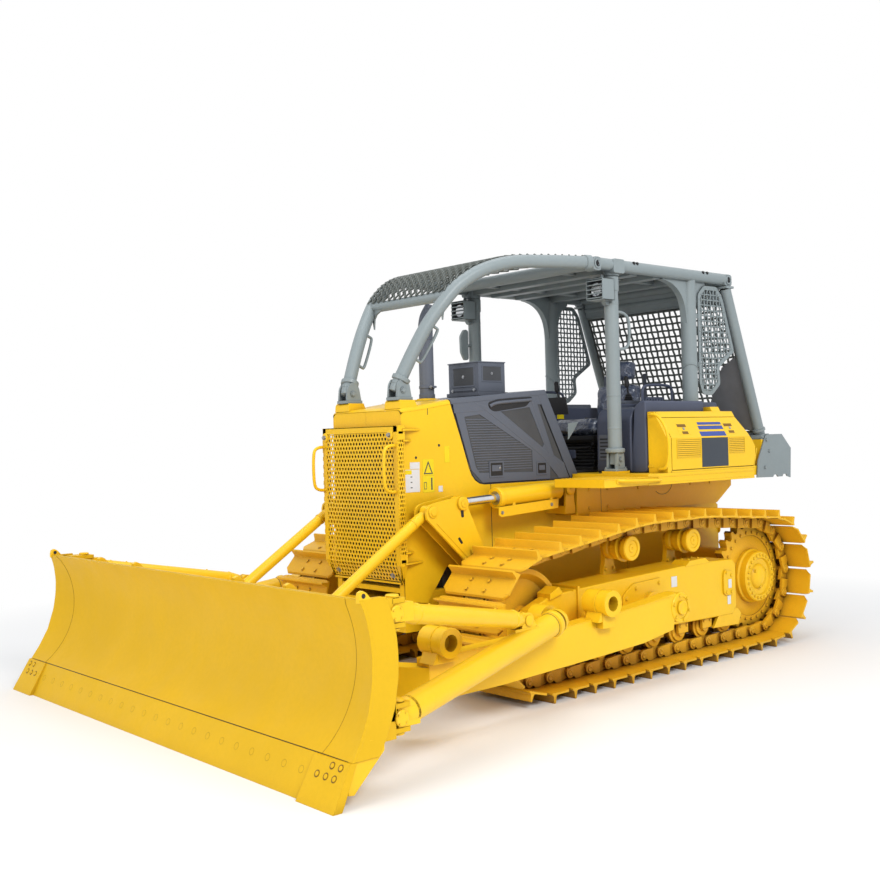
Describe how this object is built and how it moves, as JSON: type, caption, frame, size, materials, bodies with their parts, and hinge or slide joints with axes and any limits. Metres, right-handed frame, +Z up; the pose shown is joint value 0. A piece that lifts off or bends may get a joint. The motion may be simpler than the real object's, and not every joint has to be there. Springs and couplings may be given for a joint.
{
  "type": "crawler bulldozer with forestry canopy",
  "caption": "Crawler bulldozer with a straight angling blade on an outside C-frame, cylinder and bell-crank lift, and a tube canopy with mesh guards.",
  "frame": {"origin": "on the ground, under the middle of the whole machine's box", "axes": "+X forward to the blade, +Y to the machine's left, +Z up"},
  "size_m": [5.947, 3.97, 3.1043],
  "materials": {
    "body_yellow": "gloss paint",
    "blade_yellow": "semi-gloss paint",
    "track_yellow": "painted steel",
    "canopy_grey": "satin paint",
    "mesh_grey": "satin paint",
    "dark_grey": "satin textured paint",
    "seat_cover": "vinyl under clear film",
    "black_paint": "satin",
    "radiator_core": "matt black fins",
    "engine_grey": "painted casting",
    "chrome_rod": "polished"
  },
  "bodies": {
    "chassis": {"main_frame": "body_yellow", "engine_block": "engine_grey", "radiator": "radiator_core", "hood": "body_yellow", "dashboard": "dark_grey", "exhaust_stack": "dark_grey", "air_box": "dark_grey", "platform": "body_yellow", "fuel_tank": "dark_grey", "seat_base": "black_paint", "seat_cushion": "seat_cover", "seat_back": "seat_cover", "canopy": "canopy_grey", "front_sweeps": "canopy_grey", "sweep_mesh": "mesh_grey", "rear_guard": "canopy_grey", "rear_mesh": "mesh_grey", "drawbar": "body_yellow", "track_left": "track_yellow", "track_right": "track_yellow", "track_frame_left": "body_yellow", "track_frame_right": "body_yellow", "sprocket_left": "track_yellow", "sprocket_right": "track_yellow", "idler_left": "track_yellow", "idler_right": "track_yellow", "fender_box_left": "body_yellow", "fender_box_right": "body_yellow", "console_left": "dark_grey", "console_right": "dark_grey", "front_post_left": "canopy_grey", "front_post_right": "canopy_grey", "work_lamp_left": "canopy_grey", "work_lamp_right": "canopy_grey", "side_window_left": "canopy_grey", "side_window_right": "canopy_grey", "rear_plate_left": "canopy_grey", "rear_plate_right": "canopy_grey"},
    "blade_frame": {"c_frame": "body_yellow", "blade": "blade_yellow", "cutting_edge": "blade_yellow", "strut_left": "body_yellow", "strut_right": "body_yellow", "brace_left": "body_yellow", "brace_right": "body_yellow"},
    "guard_door": {"radiator_guard": "body_yellow"},
    "bell_crank_left": {"bell_crank_left": "body_yellow"},
    "lift_rod_left": {"lift_rod_left": "body_yellow"},
    "lift_cylinder_left": {"lift_cylinder_left": "body_yellow"},
    "cylinder_rod_left": {"cylinder_rod_left": "chrome_rod"},
    "side_panel_left": {"side_panel_left": "dark_grey"},
    "fender_door_left": {"fender_door_left": "body_yellow"},
    "bell_crank_right": {"bell_crank_right": "body_yellow"},
    "lift_rod_right": {"lift_rod_right": "body_yellow"},
    "lift_cylinder_right": {"lift_cylinder_right": "body_yellow"},
    "cylinder_rod_right": {"cylinder_rod_right": "chrome_rod"},
    "side_panel_right": {"side_panel_right": "dark_grey"},
    "fender_door_right": {"fender_door_right": "body_yellow"}
  },
  "joints": [
    {"name": "blade_lift", "type": "hinge", "parent": "chassis", "child": "blade_frame", "pos_m": [-0.5605, 0, 0.507], "axis": [0, -1, 0], "range_deg": [-7, 15]},
    {"name": "guard_door_swing", "type": "hinge", "parent": "chassis", "child": "guard_door", "pos_m": [1.1755, 0.426, 1.3], "axis": [0, 0, 1], "range_deg": [0, 75]},
    {"name": "bell_crank_left_pivot", "type": "hinge", "parent": "chassis", "child": "bell_crank_left", "pos_m": [0.4795, 0.535, 0.76], "axis": [0, -1, 0], "range_deg": [-13.32, 28.54]},
    {"name": "lift_rod_left_pivot", "type": "hinge", "parent": "bell_crank_left", "child": "lift_rod_left", "pos_m": [1.0795, 0.535, 1.266], "axis": [0, -1, 0], "range_deg": [-6.77, 3.16]},
    {"name": "lift_cylinder_left_pivot", "type": "hinge", "parent": "chassis", "child": "lift_cylinder_left", "pos_m": [-0.3105, 0.535, 1.354], "axis": [0, -1, 0], "range_deg": [-3.2, 6.85]},
    {"name": "cylinder_rod_left_slide", "type": "slide", "parent": "lift_cylinder_left", "child": "cylinder_rod_left", "axis": [0.9992, 0, -0.0393], "range_m": [-0.2932, 0.1368]},
    {"name": "side_panel_left_hinge", "type": "hinge", "parent": "chassis", "child": "side_panel_left", "pos_m": [0.2535, 0.379, 2.06064], "axis": [0.9969, 0, -0.0785], "range_deg": [0, 80]},
    {"name": "fender_door_left_hinge", "type": "hinge", "parent": "chassis", "child": "fender_door_left", "pos_m": [-1.2955, 1.122, 1.486], "axis": [-1, 0, 0], "range_deg": [0, 90]},
    {"name": "bell_crank_right_pivot", "type": "hinge", "parent": "chassis", "child": "bell_crank_right", "pos_m": [0.4795, -0.535, 0.76], "axis": [0, -1, 0], "range_deg": [-13.32, 28.54]},
    {"name": "lift_rod_right_pivot", "type": "hinge", "parent": "bell_crank_right", "child": "lift_rod_right", "pos_m": [1.0795, -0.535, 1.266], "axis": [0, -1, 0], "range_deg": [-6.77, 3.16]},
    {"name": "lift_cylinder_right_pivot", "type": "hinge", "parent": "chassis", "child": "lift_cylinder_right", "pos_m": [-0.3105, -0.535, 1.354], "axis": [0, -1, 0], "range_deg": [-3.2, 6.85]},
    {"name": "cylinder_rod_right_slide", "type": "slide", "parent": "lift_cylinder_right", "child": "cylinder_rod_right", "axis": [0.9992, 0, -0.0393], "range_m": [-0.2932, 0.1368]},
    {"name": "side_panel_right_hinge", "type": "hinge", "parent": "chassis", "child": "side_panel_right", "pos_m": [0.2535, -0.379, 2.06064], "axis": [-0.9969, 0, 0.0785], "range_deg": [0, 80]},
    {"name": "fender_door_right_hinge", "type": "hinge", "parent": "chassis", "child": "fender_door_right", "pos_m": [-1.2955, -1.122, 1.486], "axis": [1, 0, 0], "range_deg": [0, 90]}
  ],
  "couplings": [
    {"joint": "bell_crank_left_pivot", "follows": "blade_lift", "ratio": 1.8952},
    {"joint": "lift_rod_left_pivot", "follows": "blade_lift", "ratio": -0.4493},
    {"joint": "lift_cylinder_left_pivot", "follows": "blade_lift", "ratio": 0.4549},
    {"joint": "cylinder_rod_left_slide", "follows": "blade_lift", "m_per_rad": -1.1155},
    {"joint": "bell_crank_right_pivot", "follows": "blade_lift", "ratio": 1.8952},
    {"joint": "lift_rod_right_pivot", "follows": "blade_lift", "ratio": -0.4493},
    {"joint": "lift_cylinder_right_pivot", "follows": "blade_lift", "ratio": 0.4549},
    {"joint": "cylinder_rod_right_slide", "follows": "blade_lift", "m_per_rad": -1.1155}
  ]
}
